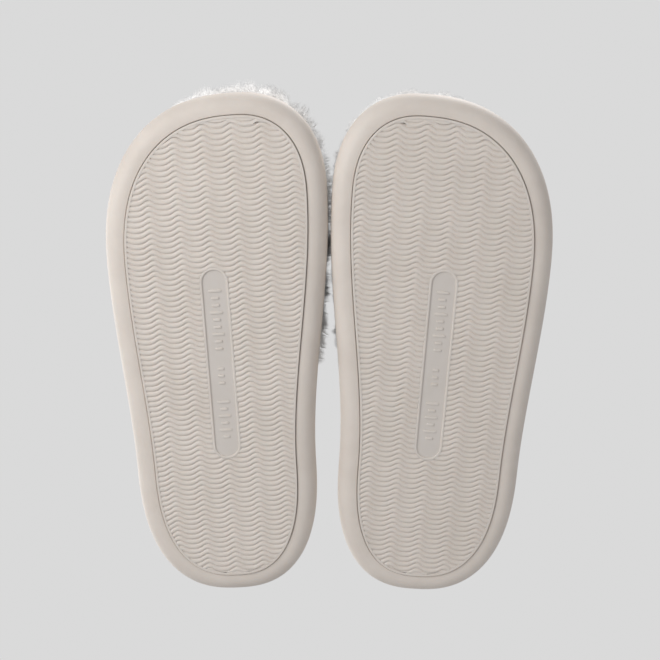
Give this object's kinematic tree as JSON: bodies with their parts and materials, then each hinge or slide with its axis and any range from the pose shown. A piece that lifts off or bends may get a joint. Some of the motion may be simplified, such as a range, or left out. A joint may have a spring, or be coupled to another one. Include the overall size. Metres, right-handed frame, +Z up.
{
  "type": "pair of fluffy house slippers",
  "caption": "Backless house slippers with a thick rounded foam sole, a wavy-ribbed inlaid tread, a plush footbed and a closed toe in long white faux fur.",
  "frame": {"origin": "on the floor under the middle of the pair", "axes": "+Z up, +Y from the toes to the heels, +X from the right slipper to the left one, as worn"},
  "size_m": [0.2144, 0.2544, 0.0915],
  "materials": {
    "sole_foam": "matte moulded foam, cream",
    "tread_rubber": "matte moulded, cream, ribbed",
    "board": "plain fibre board",
    "cushion_foam": "open-cell foam",
    "plush": "short dense pile, off-white",
    "plush_lining": "short soft pile, off-white",
    "padding": "soft wadding",
    "long_fur": "long fluffy faux fur, white",
    "binding": "knitted tape, off-white"
  },
  "bodies": {
    "left_slipper": {"left_sole": "sole_foam", "left_tread": "tread_rubber", "left_insole_board": "board", "left_insole_cushion": "cushion_foam", "left_footbed_cover": "plush", "left_upper_lining": "plush_lining", "left_upper_padding": "padding", "left_upper_fur": "long_fur", "left_throat_binding": "binding"},
    "right_slipper": {"right_sole": "sole_foam", "right_tread": "tread_rubber", "right_insole_board": "board", "right_insole_cushion": "cushion_foam", "right_footbed_cover": "plush", "right_upper_lining": "plush_lining", "right_upper_padding": "padding", "right_upper_fur": "long_fur", "right_throat_binding": "binding"}
  },
  "joints": [
    {"name": "right_slipper_lift", "type": "slide", "parent": "left_slipper", "child": "right_slipper", "axis": [0, 0, 1], "range_m": [0, 0.15]}
  ]
}
